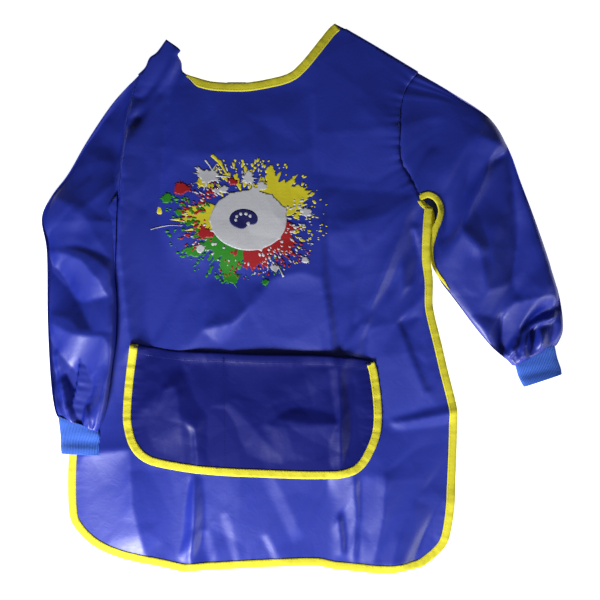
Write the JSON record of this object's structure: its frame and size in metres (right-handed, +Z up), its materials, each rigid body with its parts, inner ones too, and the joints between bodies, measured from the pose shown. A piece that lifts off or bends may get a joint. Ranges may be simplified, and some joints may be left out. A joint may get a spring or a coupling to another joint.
{
  "type": "artist smock apron",
  "caption": "Child's long-sleeved painting smock laid flat, with bound edges, a divided front pocket, knitted cuffs and a back that opens.",
  "frame": {"origin": "under the middle of the laid-out smock, on the surface it lies on", "axes": "+X to the wearer's left, +Y towards the neck, +Z up from the surface, out of the smock's front"},
  "size_m": [0.627, 0.658, 0.0221],
  "materials": {
    "royal_cloth": "smooth coated nylon, soft sheen",
    "navy_cloth": "smooth coated nylon, soft sheen",
    "yellow_tape": "woven tape",
    "yellow_thread": "sewing thread",
    "navy_thread": "sewing thread",
    "sky_knit": "rib knit",
    "closure_tape": "hook and loop tape",
    "white_label": "satin label",
    "white_print": "matt printed film",
    "yellow_print": "matt printed film",
    "red_print": "matt printed film",
    "green_print": "matt printed film",
    "navy_print": "matt printed film"
  },
  "bodies": {
    "front": {"front_panel": "royal_cloth", "neck_binding": "yellow_tape", "hem_binding": "yellow_tape", "left_shoulder_seam": "navy_thread", "right_shoulder_seam": "navy_thread", "pocket_panel": "navy_cloth", "pocket_binding": "yellow_tape", "pocket_divider_stitching": "navy_thread", "pocket_bar_tacks": "yellow_thread", "print_white": "white_print", "print_yellow": "yellow_print", "print_red": "red_print", "print_green": "green_print", "print_palette": "navy_print", "left_sleeve_head": "royal_cloth", "left_back_yoke": "royal_cloth", "right_back_yoke": "royal_cloth"},
    "left_flap": {"left_back_flap": "royal_cloth", "left_back_binding": "yellow_tape", "hook_tape": "closure_tape"},
    "right_flap": {"right_back_flap": "royal_cloth", "right_back_binding": "yellow_tape", "loop_tape": "closure_tape", "neck_label": "white_label"},
    "left_arm": {"left_sleeve": "royal_cloth", "left_vent_binding": "yellow_tape", "left_cuff": "sky_knit"},
    "right_arm": {"right_upper_sleeve": "royal_cloth", "right_lower_sleeve": "royal_cloth", "right_vent_binding": "yellow_tape", "right_cuff": "sky_knit"}
  },
  "joints": [
    {"name": "left_sleeve_fold", "type": "hinge", "parent": "front", "child": "left_arm", "pos_m": [0.1392, 0.2, 0.0126], "axis": [0, -1, 0], "range_deg": [0, 165]},
    {"name": "right_sleeve_fold", "type": "hinge", "parent": "front", "child": "right_arm", "pos_m": [-0.1965, 0.268, 0.016], "axis": [0.0851, 0.9964, 0], "range_deg": [0, 165]},
    {"name": "left_flap_opening", "type": "hinge", "parent": "front", "child": "left_flap", "pos_m": [0.05, 0.316, 0], "axis": [0.3803, -0.9249, 0], "range_deg": [0, 165]},
    {"name": "right_flap_opening", "type": "hinge", "parent": "front", "child": "right_flap", "pos_m": [-0.157, 0.293, 0], "axis": [0.3064, 0.9519, 0], "range_deg": [0, 165]}
  ]
}
